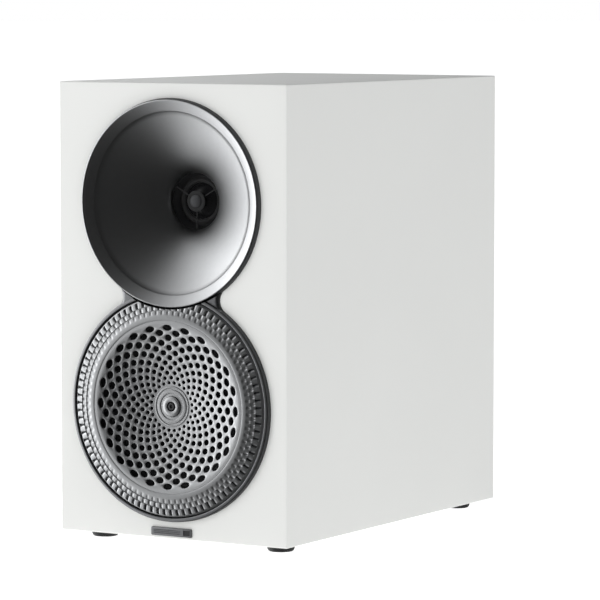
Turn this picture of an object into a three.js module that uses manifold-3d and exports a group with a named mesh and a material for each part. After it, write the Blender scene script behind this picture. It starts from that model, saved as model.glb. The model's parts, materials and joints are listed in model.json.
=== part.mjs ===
// A two-way bookshelf loudspeaker: a lacquered board cabinet on four rubber feet, a horn-loaded
// dome tweeter above a woofer that sits behind a dished phase lens, a rear reflex port, a recessed
// terminal cup with two screw terminals, and the crossover, braces, linings and leads inside.
//
// Millimetres, +Z up. The front faces -Y, and the origin is at the middle of the underside of the
// whole speaker. "Depth" below is the distance behind the front face of the baffle.
import * as THREE from "three";
import { mergeVertices } from "three/addons/utils/BufferGeometryUtils.js";
import Module from "manifold-3d";

const wasm = await Module();
wasm.setup();

// ---------------------------------------------------------------- driving dimensions

const WIDTH = 188;
const HEIGHT = 320; // the cabinet alone, without its feet
const DEPTH = 305; // the cabinet alone
const FOOT_HEIGHT = 6;
const BOARD = 15; // sides, top, bottom and rear panel
const BAFFLE = 18;
const FRONT_PROUD = 6.2; // the lens rim, in front of the baffle
const REAR_PROUD = 8.5; // the terminal knobs, behind the rear panel
const TWEETER_HEIGHT = 236; // above the underside of the cabinet
const WOOFER_HEIGHT = 93.5;
const GAP = 0.3; // between pieces that meet on curved or turned faces

const HORN_RADIUS = 73.5; // outer edge of the horn's bezel
const FASCIA_RADIUS = 81.25; // outer edge of the trim round the woofer
const WAIST_FILLET = 9.5; // where the trim runs from one circle into the other
const RING_RADIUS = 77.9; // the ribbed ring between that trim and the phase lens
const LENS_RADIUS = 60.8;

// ---------------------------------------------------------------- places that follow from them

const FRONT = -(DEPTH + REAR_PROUD - FRONT_PROUD) / 2; // Y of the baffle's front face
const BACK = FRONT + DEPTH; // Y of the rear panel's outer face
const BOTTOM = FOOT_HEIGHT; // Z of the cabinet's underside
const TOP = BOTTOM + HEIGHT;
const SIDE = WIDTH / 2;
const TWEETER_Z = BOTTOM + TWEETER_HEIGHT;
const WOOFER_Z = BOTTOM + WOOFER_HEIGHT;
const INNER_SIDE = SIDE - BOARD;
const FLOOR = BOTTOM + BOARD; // Z of the inside of the bottom panel
const CEILING = TOP - BOARD;
const ROUND = 32; // facets of a large round part
const SMALL_ROUND = 18;
const TINY_ROUND = 12;

const depth = (d) => FRONT + d;

// ---------------------------------------------------------------- finishes

const finish = (color, roughness, metalness = 0) =>
  new THREE.MeshStandardMaterial({ color, roughness, metalness });

const WHITE_LACQUER = finish(0xe9eae6, 0.4);
const RAW_BOARD = finish(0xb39a75, 0.9);
const SATIN_SILVER = finish(0x9a9c9e, 0.3, 0.9);
const PEWTER = finish(0x777a7c, 0.4, 0.8);
const GREY_POLYMER = finish(0x8b8d90, 0.45);
const BLACK_PLASTIC = finish(0x141416, 0.5);
const BLACK_RUBBER = finish(0x18181a, 0.8);
const CAST_ALLOY = finish(0x3c3d40, 0.6, 0.6);
const CONE_FIBRE = finish(0x1d1e20, 0.6);
const SPIDER_CLOTH = finish(0xb98a3c, 0.9);
const FERRITE = finish(0x2b2c2e, 0.7);
const ZINC_STEEL = finish(0x8f9396, 0.35, 0.9);
const COPPER = finish(0xb4623a, 0.35, 0.9);
const BLACK_DOME = finish(0x1a1b1d, 0.3);
const CIRCUIT_BOARD = finish(0x1f5136, 0.6);
const CAPACITOR_FILM = finish(0xb9a03a, 0.5);
const CERAMIC = finish(0xd6d2c6, 0.8);
const GOLD_PLATE = finish(0xc9a24d, 0.25, 1);
const RED_PLASTIC = finish(0x9c1c1c, 0.4);
const CLEAR_NYLON = finish(0xcfcfca, 0.5);
const FOAM = finish(0x2c2d30, 1);
const RED_SLEEVE = finish(0x8e2a25, 0.6);

// ---------------------------------------------------------------- solids and meshes

const solidOf = (geometry) => {
  const bare = geometry.index ? geometry.toNonIndexed() : geometry.clone();
  bare.deleteAttribute("normal");
  bare.deleteAttribute("uv");
  const merged = mergeVertices(bare, 1e-4);
  return new wasm.Manifold(
    new wasm.Mesh({
      numProp: 3,
      vertProperties: merged.attributes.position.array,
      triVerts: new Uint32Array(merged.index.array),
    }),
  );
};

const geometryOf = (solid) => {
  const mesh = solid.getMesh();
  const geometry = new THREE.BufferGeometry();
  geometry.setAttribute("position", new THREE.BufferAttribute(mesh.vertProperties.slice(), 3));
  geometry.setIndex(new THREE.BufferAttribute(mesh.triVerts.slice(), 1));
  geometry.computeVertexNormals();
  return geometry;
};

const join = (...parts) => geometryOf(parts.map(solidOf).reduce((whole, part) => whole.add(part)));

const cut = (body, ...tools) =>
  geometryOf(tools.map(solidOf).reduce((rest, tool) => rest.subtract(tool), solidOf(body)));

// A ring or disc turned about the Y axis from a closed profile of [radius, y] points.
const turned = (profile, facets = ROUND) => {
  const onAxis = profile[0][0] === 0 && profile.at(-1)[0] === 0;
  const loop = onAxis ? [...profile] : [...profile, profile[0]];
  const area = loop.reduce((sum, [r, y], i) => {
    const [nextR, nextY] = loop[(i + 1) % loop.length];
    return sum + r * nextY - nextR * y;
  }, 0);
  const ordered = area < 0 ? loop.reverse() : loop;
  return new THREE.LatheGeometry(
    ordered.map(([r, y]) => new THREE.Vector2(r, y)),
    facets,
  );
};

const block = (x0, x1, y0, y1, z0, z1) =>
  new THREE.BoxGeometry(x1 - x0, y1 - y0, z1 - z0).translate(
    (x0 + x1) / 2,
    (y0 + y1) / 2,
    (z0 + z1) / 2,
  );

// A rod along Y between two Y values.
const rod = (radius, y0, y1, facets = SMALL_ROUND) =>
  new THREE.CylinderGeometry(radius, radius, y1 - y0, facets).translate(0, (y0 + y1) / 2, 0);

// A flat shape drawn in X and Z, given thickness from y0 to y1.
const plate = (shape, y0, y1, curveSegments = 12) =>
  new THREE.ExtrudeGeometry(shape, { depth: y1 - y0, bevelEnabled: false, curveSegments })
    .rotateX(Math.PI / 2)
    .translate(0, y1, 0);

const roundedRectangle = (x0, x1, z0, z1, radius) => {
  const shape = new THREE.Shape();
  shape.absarc(x1 - radius, z0 + radius, radius, -Math.PI / 2, 0);
  shape.absarc(x1 - radius, z1 - radius, radius, 0, Math.PI / 2);
  shape.absarc(x0 + radius, z1 - radius, radius, Math.PI / 2, Math.PI);
  shape.absarc(x0 + radius, z0 + radius, radius, Math.PI, 1.5 * Math.PI);
  shape.closePath();
  return shape;
};

const speaker = new THREE.Group();

const add = (name, geometry, material, x = 0, y = 0, z = 0) => {
  const mesh = new THREE.Mesh(geometry, material);
  mesh.name = name;
  mesh.position.set(x, y, z);
  speaker.add(mesh);
  return mesh;
};

// ---------------------------------------------------------------- cabinet

const TWEETER_HOLE = 65.5;
const WOOFER_HOLE = 70;
const REBATE_RADIUS = 80.3; // the woofer's frame sits in it
const REBATE_DEPTH = 6;
const PORT_Z = BOTTOM + 232;
const PORT_HOLE = 28;
const CUP_Z = BOTTOM + 95;
const CUP_HOLE = 28.6;
const SCREW_CIRCLE = 77;
const SCREW_COUNT = 4;
const PILOT_RADIUS = 1.9;
const PILOT_DEPTH = 15; // below the rebate's front edge

const wooferScrewPlaces = Array.from({ length: SCREW_COUNT }, (_, i) => {
  const angle = ((i + 0.5) / SCREW_COUNT) * 2 * Math.PI;
  return [SCREW_CIRCLE * Math.cos(angle), WOOFER_Z + SCREW_CIRCLE * Math.sin(angle)];
});

function panel(name, corners) {
  const shape = new THREE.Shape(corners.map(([x, z]) => new THREE.Vector2(x, z)));
  add(name, plate(shape, depth(BAFFLE), BACK), WHITE_LACQUER);
}

function cabinet() {
  const inner = INNER_SIDE;
  panel("left_side_panel", [[-SIDE, BOTTOM], [-inner, FLOOR], [-inner, CEILING], [-SIDE, TOP]]);
  panel("right_side_panel", [[SIDE, BOTTOM], [SIDE, TOP], [inner, CEILING], [inner, FLOOR]]);
  panel("top_panel", [[-SIDE, TOP], [-inner, CEILING], [inner, CEILING], [SIDE, TOP]]);
  panel("bottom_panel", [[-SIDE, BOTTOM], [SIDE, BOTTOM], [inner, FLOOR], [-inner, FLOOR]]);

  const pilots = wooferScrewPlaces.map(([x, z]) =>
    rod(PILOT_RADIUS, depth(REBATE_DEPTH - 1), depth(PILOT_DEPTH + 1), TINY_ROUND).translate(x, 0, z),
  );
  const baffle = cut(
    block(-SIDE, SIDE, depth(0), depth(BAFFLE), BOTTOM, TOP),
    rod(TWEETER_HOLE, depth(-1), depth(BAFFLE + 1), ROUND).translate(0, 0, TWEETER_Z),
    rod(WOOFER_HOLE, depth(-1), depth(BAFFLE + 1), ROUND).translate(0, 0, WOOFER_Z),
    rod(REBATE_RADIUS, depth(-1), depth(REBATE_DEPTH), ROUND).translate(0, 0, WOOFER_Z),
    ...pilots,
  );
  add("front_baffle", baffle, WHITE_LACQUER);

  const rear = cut(
    block(-INNER_SIDE, INNER_SIDE, BACK - BOARD, BACK, FLOOR, CEILING),
    rod(PORT_HOLE, BACK - BOARD - 1, BACK + 1, ROUND).translate(0, 0, PORT_Z),
    rod(CUP_HOLE, BACK - BOARD - 1, BACK + 1, ROUND).translate(0, 0, CUP_Z),
  );
  add("rear_panel", rear, WHITE_LACQUER);
}

const BRACE_DEPTH = 140;
const BRACE_THICKNESS = 12;
const BRACE_MARGIN = 26;
const BRACE_BAR = 22;

function brace() {
  const inside = INNER_SIDE - BRACE_MARGIN;
  const low = FLOOR + BRACE_MARGIN;
  const high = CEILING - BRACE_MARGIN;
  const bar = (low + high) / 2;
  const outline = new THREE.Shape();
  outline.moveTo(-INNER_SIDE, FLOOR);
  outline.lineTo(INNER_SIDE, FLOOR);
  outline.lineTo(INNER_SIDE, CEILING);
  outline.lineTo(-INNER_SIDE, CEILING);
  outline.closePath();
  outline.holes.push(roundedRectangle(-inside, inside, low, bar - BRACE_BAR / 2, 12));
  outline.holes.push(roundedRectangle(-inside, inside, bar + BRACE_BAR / 2, high, 12));
  add("window_brace", plate(outline, depth(BRACE_DEPTH), depth(BRACE_DEPTH + BRACE_THICKNESS), 3), RAW_BOARD);
}

const FOOT_RADIUS = 10;
const FOOT_SIDE_INSET = 20.5;
const FOOT_FRONT_INSET = 26;
const FOOT_REAR_INSET = 21;

function feet() {
  const foot = turned(
    [[0, 0], [FOOT_RADIUS - 1.5, 0], [FOOT_RADIUS - 0.4, 1.2], [FOOT_RADIUS, FOOT_HEIGHT], [0, FOOT_HEIGHT]],
    SMALL_ROUND,
  ).rotateX(Math.PI / 2);
  const x = SIDE - FOOT_SIDE_INSET;
  for (const [end, y] of [["front", FRONT + FOOT_FRONT_INSET], ["rear", BACK - FOOT_REAR_INSET]]) {
    add(`foot_${end}_left`, foot.clone(), BLACK_RUBBER, -x, y, 0);
    add(`foot_${end}_right`, foot.clone(), BLACK_RUBBER, x, y, 0);
  }
}

const LINING_THICKNESS = 16;
const LINING_DEPTH = [158, 284];
const LINING_HEIGHT = [62, 298];

function linings() {
  const outer = INNER_SIDE;
  const inner = INNER_SIDE - LINING_THICKNESS;
  const [y0, y1] = LINING_DEPTH.map(depth);
  const [z0, z1] = LINING_HEIGHT;
  add("foam_lining_left", block(-outer, -inner, y0, y1, z0, z1), FOAM);
  add("foam_lining_right", block(inner, outer, y0, y1, z0, z1), FOAM);
}

// ---------------------------------------------------------------- front trim

const FASCIA_INNER = 78.2;
const FASCIA_PROUD = 2.5;
const FASCIA_RIDGE = [[78.2, -1], [80.9, -1], [80.9, -3.8], [80.4, -4.4], [79.3, -4.4], [78.2, -3.4]];
const BEZEL_CLEARANCE = 0.4; // between the horn's bezel and the pieces that it cuts into

// The figure of eight that the two driver trims make: two circles joined by concave fillets.
function figureOfEight() {
  const apart = TWEETER_HEIGHT - WOOFER_HEIGHT;
  const toWoofer = FASCIA_RADIUS + WAIST_FILLET;
  const toTweeter = HORN_RADIUS + WAIST_FILLET;
  const rise = (apart ** 2 + toWoofer ** 2 - toTweeter ** 2) / (2 * apart);
  const out = Math.sqrt(toWoofer ** 2 - rise ** 2);
  const atWoofer = Math.atan2(rise, out);
  const atTweeter = Math.atan2(rise - apart, out);
  const shape = new THREE.Shape();
  shape.absarc(0, WOOFER_Z, FASCIA_RADIUS, Math.PI - atWoofer, 2 * Math.PI + atWoofer, false);
  shape.absarc(out, WOOFER_Z + rise, WAIST_FILLET, Math.PI + atWoofer, Math.PI + atTweeter, true);
  shape.absarc(0, TWEETER_Z, HORN_RADIUS, atTweeter, Math.PI - atTweeter, false);
  shape.absarc(-out, WOOFER_Z + rise, WAIST_FILLET, -atTweeter, -atWoofer, true);
  shape.closePath();
  return shape;
}

function frontTrim() {
  const ridge = turned(FASCIA_RIDGE.map(([r, d]) => [r, depth(d)])).translate(0, 0, WOOFER_Z);
  const fascia = cut(
    join(plate(figureOfEight(), depth(-FASCIA_PROUD), depth(0), 24), ridge),
    rod(HORN_RADIUS + BEZEL_CLEARANCE, depth(-6), depth(5), ROUND).translate(0, 0, TWEETER_Z),
    rod(FASCIA_INNER, depth(-6), depth(5), ROUND).translate(0, 0, WOOFER_Z),
  );
  add("woofer_fascia", fascia, PEWTER);

  const badge = roundedRectangle(-16.75, 16.75, BOTTOM + 2, BOTTOM + 8, 1);
  add("nameplate", plate(badge, depth(-1.5), depth(0), 2), PEWTER);
}

// ---------------------------------------------------------------- tweeter

const HORN_MOUTH = 64;
const HORN_THROAT = 20;
const THROAT_DEPTH = 33;
const MOUTH_DEPTH = 0.5;
const HORN_WALL = 2;
const HORN_STEPS = 6;

// The flare is a hyperbola: parallel to the axis at the throat and nearly straight at the mouth.
function hornRadius(d) {
  const slope = Math.sqrt(HORN_MOUTH ** 2 - HORN_THROAT ** 2) / (THROAT_DEPTH - MOUTH_DEPTH);
  return Math.hypot(HORN_THROAT, (THROAT_DEPTH - d) * slope);
}

function horn() {
  const flare = Array.from({ length: HORN_STEPS + 1 }, (_, i) => {
    const share = (i / HORN_STEPS) ** 0.8;
    const d = MOUTH_DEPTH + share * (THROAT_DEPTH - MOUTH_DEPTH);
    return [hornRadius(d), depth(d)];
  });
  const back = [22, 11, 1.6].map((d) => [hornRadius(d) + HORN_WALL, depth(d)]);
  const profile = [
    [HORN_RADIUS, depth(0)],
    [HORN_RADIUS, depth(-1.2)],
    [HORN_RADIUS - 1, depth(-4.3)],
    [HORN_RADIUS - 1.6, depth(-4.6)],
    [HORN_MOUTH + 4.5, depth(-2.6)],
    [HORN_MOUTH + 0.6, depth(-0.3)],
    ...flare,
    [30, depth(THROAT_DEPTH)],
    [30, depth(THROAT_DEPTH - 3)],
    [hornRadius(27) + 3, depth(THROAT_DEPTH - 3)],
    ...back,
    [TWEETER_HOLE - GAP, depth(0)],
  ];
  add("tweeter_horn", turned(profile), SATIN_SILVER, 0, 0, TWEETER_Z);
}

const PLUG_RADIUS = 7.6;
const PLUG_SPOKES = 3;

function phasePlug() {
  const button = turned(
    [[0, 31.4], [PLUG_RADIUS - 1, 31.4], [PLUG_RADIUS, 32], [5, 34.2], [0, 34.4]].map(
      ([r, d]) => [r, depth(d)],
    ),
    SMALL_ROUND,
  );
  const ring = turned(
    [[20.4, depth(33.3)], [21.8, depth(33.3)], [21.8, depth(34.3)], [20.4, depth(34.3)]],
    SMALL_ROUND,
  );
  const spokes = Array.from({ length: PLUG_SPOKES }, (_, i) =>
    block(4, 21, depth(33.3), depth(34.3), -0.9, 0.9).rotateY(
      (i * 2 * Math.PI) / PLUG_SPOKES + Math.PI / 6,
    ),
  );
  add("phase_plug", join(button, ring, ...spokes), BLACK_PLASTIC, 0, 0, TWEETER_Z);
}

function tweeter() {
  const part = (name, profile, material) =>
    add(name, turned(profile.map(([r, d]) => [r, depth(d)]), SMALL_ROUND), material, 0, 0, TWEETER_Z);

  part("throat_gasket", [[22.1, 33.3], [30, 33.3], [30, 34.3], [22.1, 34.3]], BLACK_RUBBER);
  part(
    "tweeter_faceplate",
    [[20.2, 34.6], [31, 34.6], [31, 39.6], [17.2, 39.6], [17.2, 38.4]],
    BLACK_PLASTIC,
  );
  part(
    "tweeter_surround",
    [[13, 40.4], [13, 40], [14.8, 38.8], [16.6, 39.9], [18.4, 39.9], [18.4, 40.4], [16.4, 40.4], [14.8, 39.4],
      [13.5, 40.4]],
    BLACK_RUBBER,
  );
  part(
    "tweeter_dome",
    [[0, 35.6], [5, 36.2], [9.5, 37.9], [12.7, 40.1], [12, 40.1], [9.2, 38.5], [5, 36.8], [0, 36.2]],
    BLACK_DOME,
  );
  part("tweeter_voice_coil", [[12.4, 40.4], [12.8, 40.4], [12.8, 45.4], [12.4, 45.4]], COPPER);
  part("tweeter_top_plate", [[13.5, 40.9], [30, 40.9], [30, 44.4], [13.5, 44.4]], ZINC_STEEL);
  part("tweeter_magnet", [[15.5, 44.7], [30, 44.7], [30, 54.7], [15.5, 54.7]], FERRITE);
  part(
    "tweeter_yoke",
    [[4, 41.5], [11.8, 41.5], [11.8, 55], [30, 55], [30, 60], [4, 60]],
    ZINC_STEEL,
  );
  part(
    "tweeter_rear_chamber",
    [[0, 80], [25, 80], [25, 60.3], [27, 60.3], [27, 81], [26, 82], [0, 82]],
    BLACK_PLASTIC,
  );
}

// ---------------------------------------------------------------- woofer

const FRAME_RADIUS = 80;
const FRAME_SPOKES = 6;
const STEM_TOP = 2.2;

const wooferPart = (name, profile, material, facets = ROUND) =>
  add(name, turned(profile.map(([r, d]) => [r, depth(d)]), facets), material, 0, 0, WOOFER_Z);

function wooferFrame() {
  const body = turned(
    [[66, 4.4], [70.3, 4.4], [70.3, 2], [FRAME_RADIUS, 2], [FRAME_RADIUS, 5.75], [69.4, 5.75], [55.5, 31.5],
      [47.5, 45], [19, 45], [19, 42], [45.5, 42], [51.5, 31.9], [43, 31.9], [43, 30],
      [53.2, 30]].map(([r, d]) => [r, depth(d)]),
  );
  const flat = rod(TWEETER_HOLE + 0.5, depth(0), depth(30)).translate(0, 0, TWEETER_Z - WOOFER_Z);
  const holes = wooferScrewPlaces.map(([x, z]) =>
    rod(2.3, depth(0), depth(8), 8).translate(x, 0, z - WOOFER_Z),
  );
  const windows = Array.from({ length: FRAME_SPOKES }, (_, i) =>
    block(38, 90, depth(9), depth(28), -20, 20).rotateY(((i + 0.5) * 2 * Math.PI) / FRAME_SPOKES),
  );
  const strip = block(-66, -60, depth(20), depth(33), -9, 9);
  const bridge = block(-62, -55, depth(18.5), depth(29.5), -6, 6);
  const frame = join(cut(body, flat, ...holes, ...windows), bridge, strip);
  add("woofer_frame", frame, CAST_ALLOY, 0, 0, WOOFER_Z);
}

function wooferScrews() {
  const screw = turned(
    [[0, 3.1], [1.2, 2.1], [3, 2.05], [3, 2.3], [1.7, 4], [1.7, 14.4], [0, 15.4]].map(
      ([r, d]) => [r, depth(d)],
    ),
    TINY_ROUND,
  );
  const counter = turned(
    [[0, 1.9], [3.5, 1.9], [3.5, 2.6], [2.2, 4.1], [0, 4.1]].map(([r, d]) => [r, depth(d)]),
    TINY_ROUND,
  );
  const frame = speaker.getObjectByName("woofer_frame");
  frame.geometry = cut(
    frame.geometry,
    ...wooferScrewPlaces.map(([x, z]) => counter.clone().translate(x, 0, z - WOOFER_Z)),
  );
  wooferScrewPlaces.forEach(([x, z], i) => {
    add(`woofer_screw_${i + 1}`, screw.clone(), BLACK_PLASTIC, x, 0, z);
  });
}

function wooferMoving() {
  wooferPart(
    "woofer_surround",
    [[75.5, 1.9], [75.5, 1], [70.5, 1], [69.4, 0.7], [68.4, 0.1], [67.2, -0.35], [65.8, -0.5],
      [64.2, -0.3], [62.8, 0.5], [61.9, 1.3], [61.2, 1.6], [61.2, 2.4], [62.1, 2.4], [63.3, 1.4],
      [64.5, 0.6], [65.8, 0.4], [67, 0.5], [68, 0.9], [69, 1.6], [70.3, 1.9]],
    BLACK_RUBBER,
  );
  wooferPart(
    "woofer_cone",
    [[61.9, 2.8], [61, 3.7], [36, 18.8], [17.6, 32.4], [17.3, 31], [35.5, 17.6], [60.6, 2.8]],
    CONE_FIBRE,
  );
  wooferPart(
    "woofer_voice_coil",
    [[16.3, 29], [16.9, 29], [16.9, 50], [17.5, 50], [17.5, 62], [16.3, 62]],
    COPPER,
    SMALL_ROUND,
  );
  wooferPart(
    "woofer_spider",
    [[17.3, 33.6], [20, 32.4], [25, 34.4], [30, 31], [35, 33.2], [40, 29.4], [47.5, 29.4], [47.5, 29.9],
      [40.4, 29.9], [35, 33.8], [30, 31.6], [25, 35], [20, 33], [17.3, 34.2]],
    SPIDER_CLOTH,
    SMALL_ROUND,
  );
}

function wooferMotor() {
  const topPlate = [[18.3, 45.3], [46, 45.3], [46, 51.3], [18.3, 51.3]];
  const magnet = [[28, 51.6], [50, 51.6], [50, 67.6], [28, 67.6]];
  wooferPart("woofer_top_plate", topPlate, ZINC_STEEL, SMALL_ROUND);
  wooferPart("woofer_magnet", magnet, FERRITE, SMALL_ROUND);
  wooferPart(
    "woofer_yoke",
    [[0, 45.3], [15.5, 45.3], [15.5, 67.9], [46, 67.9], [46, 72.4], [44.5, 73.9], [0, 73.9]],
    ZINC_STEEL,
    SMALL_ROUND,
  );
  wooferPart(
    "magnet_boot",
    [[50.8, 52], [52.8, 52], [52.8, 75], [51.5, 76.4], [0, 76.4], [0, 74.4], [50.8, 74.4]],
    BLACK_RUBBER,
    SMALL_ROUND,
  );
}

function ribbedRing() {
  const ring = turned(
    [[RING_RADIUS, 1.9], [RING_RADIUS, -3.4], [77.1, -4.4], [73.5, -5.2], [69.9, -5.6], [64.5, -5.9],
      [62, -6.1], [61.3, -6], [61.3, -5.1], [66, -4.9], [70, -4.5], [76.6, -3.3], [76.6, 1.9]].map(
      ([r, d]) => [r, depth(d)],
    ),
  );
  const bezel = rod(HORN_RADIUS + BEZEL_CLEARANCE, depth(-8), depth(5), ROUND);
  const notched = cut(ring, bezel.translate(0, 0, TWEETER_Z - WOOFER_Z));
  add("ribbed_ring", notched, GREY_POLYMER, 0, 0, WOOFER_Z);
}

function phaseLens() {
  wooferPart(
    "phase_lens",
    [[3.2, -0.5], [6.8, -0.9], [7.4, 0], [14.2, 0.4], [30, -1.4], [46, -3.8], [57.5, -5.9],
      [LENS_RADIUS - 2, -FRONT_PROUD], [LENS_RADIUS - 0.6, -FRONT_PROUD], [LENS_RADIUS, -5.8],
      [LENS_RADIUS, -5], [57.5, -4.5], [46, -2.4], [30, 0], [14.2, 1.9], [3.2, 1.9]],
    PEWTER,
  );
  wooferPart(
    "lens_stem",
    [[2.7, STEM_TOP], [6.5, STEM_TOP], [8, 12], [11, 34], [11.5, 45], [2.7, 45]],
    BLACK_PLASTIC,
    SMALL_ROUND,
  );
  const head = turned(
    [[0, -0.1], [1.3, -0.1], [1.3, -1.1], [2.6, -1.1], [2.9, -0.8], [2.9, 1.6], [2.3, 2], [2.3, 16],
      [0, 17]].map(([r, d]) => [r, depth(d)]),
    TINY_ROUND,
  );
  add("lens_screw", head, BLACK_PLASTIC, 0, 0, WOOFER_Z);
}

// ---------------------------------------------------------------- crossover and leads

const CIRCUIT_DEPTH = [166, 274];
const CIRCUIT_HALF_WIDTH = 48;
const CIRCUIT_Z = FLOOR + 6;
const CIRCUIT_THICKNESS = 1.6;

function crossover() {
  const [y0, y1] = CIRCUIT_DEPTH.map(depth);
  const standoff = (x, y) =>
    new THREE.CylinderGeometry(3.5, 3.5, CIRCUIT_Z - FLOOR + 1, 10)
      .rotateX(Math.PI / 2)
      .translate(x, y, (CIRCUIT_Z + FLOOR + 1) / 2);
  const board = join(
    block(-CIRCUIT_HALF_WIDTH, CIRCUIT_HALF_WIDTH, y0, y1, CIRCUIT_Z, CIRCUIT_Z + CIRCUIT_THICKNESS),
    ...[-1, 1].flatMap((side) =>
      [y0 + 6, y1 - 6].map((y) => standoff(side * (CIRCUIT_HALF_WIDTH - 6), y)),
    ),
  );
  add("crossover_board", board, CIRCUIT_BOARD);

  const table = CIRCUIT_Z + CIRCUIT_THICKNESS + GAP;
  const coil = (name, radius, height, x, d) => {
    const bobbin = turned(
      [[5, 0], [radius, 0], [radius, 1.6], [radius - 1.5, 1.6], [radius - 1.5, height - 1.6],
        [radius, height - 1.6], [radius, height], [5, height]],
      16,
    ).rotateX(Math.PI / 2);
    add(name, bobbin, COPPER, x, depth(d), table);
  };
  coil("woofer_inductor", 21, 24, -23, 194);
  coil("tweeter_inductor", 13, 15, 28, 186);

  const can = (name, radius, length, x, d) => {
    const body = turned(
      [[0, 0], [radius - 1.2, 0], [radius, 1.2], [radius, length - 1.2], [radius - 1.2, length], [0, length]],
      16,
    ).rotateZ(-Math.PI / 2);
    add(name, body, CAPACITOR_FILM, x - length / 2, depth(d), table + radius);
  };
  can("woofer_capacitor", 10, 36, 22, 218);
  can("tweeter_capacitor", 8, 30, 20, 248);
  add("tweeter_resistor", block(-38, -12, depth(236), depth(245), table, table + 9), CERAMIC);
}

// A lead is a round tube along a smooth curve through hand-placed points of [x, depth, z].
const lead = (name, points, radius, steps) => {
  const route = new THREE.CatmullRomCurve3(points.map(([x, d, z]) => new THREE.Vector3(x, depth(d), z)));
  const section = new THREE.Shape();
  const sides = 6;
  for (let i = 0; i < sides; i++) {
    const angle = (i * 2 * Math.PI) / sides;
    const corner = [radius * Math.cos(angle), radius * Math.sin(angle)];
    if (i === 0) section.moveTo(...corner);
    else section.lineTo(...corner);
  }
  section.closePath();
  add(name, new THREE.ExtrudeGeometry(section, { steps, extrudePath: route }), RED_SLEEVE);
};

function leads() {
  const toWoofer = [
    [-34, 169, 31.5], [-39, 160, 44], [-45, 146, 66], [-56, 124, 84], [-66, 92, 96], [-68, 62, 99.5],
    [-63, 34.5, 99.5],
  ];
  const toTweeter = [
    [34, 169, 31.5], [40, 160, 56], [45, 146, 112], [47, 126, 164], [45, 102, 208], [40, 78, 236],
    [33, 60.5, 242],
  ];
  const fromTerminals = [
    [0, 277, 92], [0, 271, 86], [0, 268, 70], [0, 268, 50], [0, 262, 37], [0, 256, 31.2],
  ];
  lead("woofer_lead", toWoofer, 1.8, 16);
  lead("tweeter_lead", toTweeter, 1.8, 18);
  lead("input_lead", fromTerminals, 2.4, 12);
}

// ---------------------------------------------------------------- rear: port and terminals

const PORT_BORE = 24;
const PORT_LENGTH = 125;
const PORT_FLANGE = 38;

function port() {
  const inner = BACK - PORT_LENGTH;
  const profile = [
    [PORT_FLANGE, BACK], [PORT_FLANGE - 1, BACK + 2.5], [34, BACK + 2.5], [28.5, BACK - 1], [25.5, BACK - 8],
    [PORT_BORE, BACK - 18], [PORT_BORE, inner + 12], [29, inner], [31, inner + 1.5], [26.5, inner + 13],
    [26.5, BACK - 16], [PORT_HOLE - GAP, BACK - 15], [PORT_HOLE - GAP, BACK],
  ];
  add("port_tube", turned(profile, 28), BLACK_PLASTIC, 0, 0, PORT_Z);
}

const CUP_BORE = 25.5;
const CUP_FLOOR = -12; // Y from the rear panel's outer face
const POST_SPACING = 19;
const POST_THREAD = 2.9;
const KNOB_RADIUS = 7;
const KNOB_FLUTES = 8;

function terminalCup() {
  const flange = plate(roundedRectangle(-37, 37, CUP_Z - 37, CUP_Z + 37, 8), BACK, BACK + 2.5, 4);
  const pan = rod(CUP_HOLE - 0.4, BACK + CUP_FLOOR - 3, BACK + 1, ROUND).translate(0, 0, CUP_Z);
  const recess = rod(CUP_BORE, BACK + CUP_FLOOR, BACK + 5, ROUND).translate(0, 0, CUP_Z);
  const holes = [-1, 1].map((side) =>
    rod(POST_THREAD + GAP, BACK - 20, BACK, 16).translate((side * POST_SPACING) / 2, 0, CUP_Z),
  );
  add("terminal_cup", cut(join(flange, pan), recess, ...holes), BLACK_PLASTIC);
}

function terminal(name, side, cap) {
  const x = (side * POST_SPACING) / 2;
  const turnedPost = turned(
    [[0, -26], [POST_THREAD, -26], [POST_THREAD, -19.5], [5.6, -19.5], [5.6, -15.3],
      [POST_THREAD, -15.3], [POST_THREAD, -11.7], [6.4, -11.7], [6.4, -9.5], [POST_THREAD, -9.5],
      [POST_THREAD, 6], [2.5, 6.5], [2.05, 6.5], [2.05, -4], [0, -5]].map(([r, y]) => [r, BACK + y]),
    TINY_ROUND,
  );
  const wireHole = new THREE.CylinderGeometry(1.2, 1.2, 12, 10)
    .rotateX(Math.PI / 2)
    .translate(0, BACK - 7.2, 0);
  add(`terminal_post_${name}`, cut(turnedPost, wireHole), GOLD_PLATE, x, 0, CUP_Z);

  const washer = [[3.2, -9.2], [6.6, -9.2], [6.6, -7.7], [3.2, -7.7]];
  add(`clamp_washer_${name}`, turned(washer.map(([r, y]) => [r, BACK + y]), 20), CLEAR_NYLON, x, 0, CUP_Z);

  const body = turned(
    [[3.2, -7.4], [KNOB_RADIUS, -7.4], [KNOB_RADIUS, 7], [KNOB_RADIUS - 1.5, REAR_PROUD], [2.4, REAR_PROUD],
      [2.4, 7], [3.2, 7]].map(([r, y]) => [r, BACK + y]),
    20,
  );
  const flutes = Array.from({ length: KNOB_FLUTES }, (_, i) => {
    const angle = (i * 2 * Math.PI) / KNOB_FLUTES;
    return rod(1.2, BACK - 6, BACK + 9, 6).translate(
      (KNOB_RADIUS + 0.5) * Math.cos(angle),
      0,
      (KNOB_RADIUS + 0.5) * Math.sin(angle),
    );
  });
  add(`terminal_knob_${name}`, cut(body, ...flutes), cap, x, 0, CUP_Z);
}

// ---------------------------------------------------------------- the whole speaker

cabinet();
brace();
feet();
linings();
frontTrim();
horn();
phasePlug();
tweeter();
wooferFrame();
wooferScrews();
wooferMoving();
wooferMotor();
ribbedRing();
phaseLens();
crossover();
leads();
port();
terminalCup();
terminal("black", -1, BLACK_PLASTIC);
terminal("red", 1, RED_PLASTIC);

export default speaker;
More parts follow.
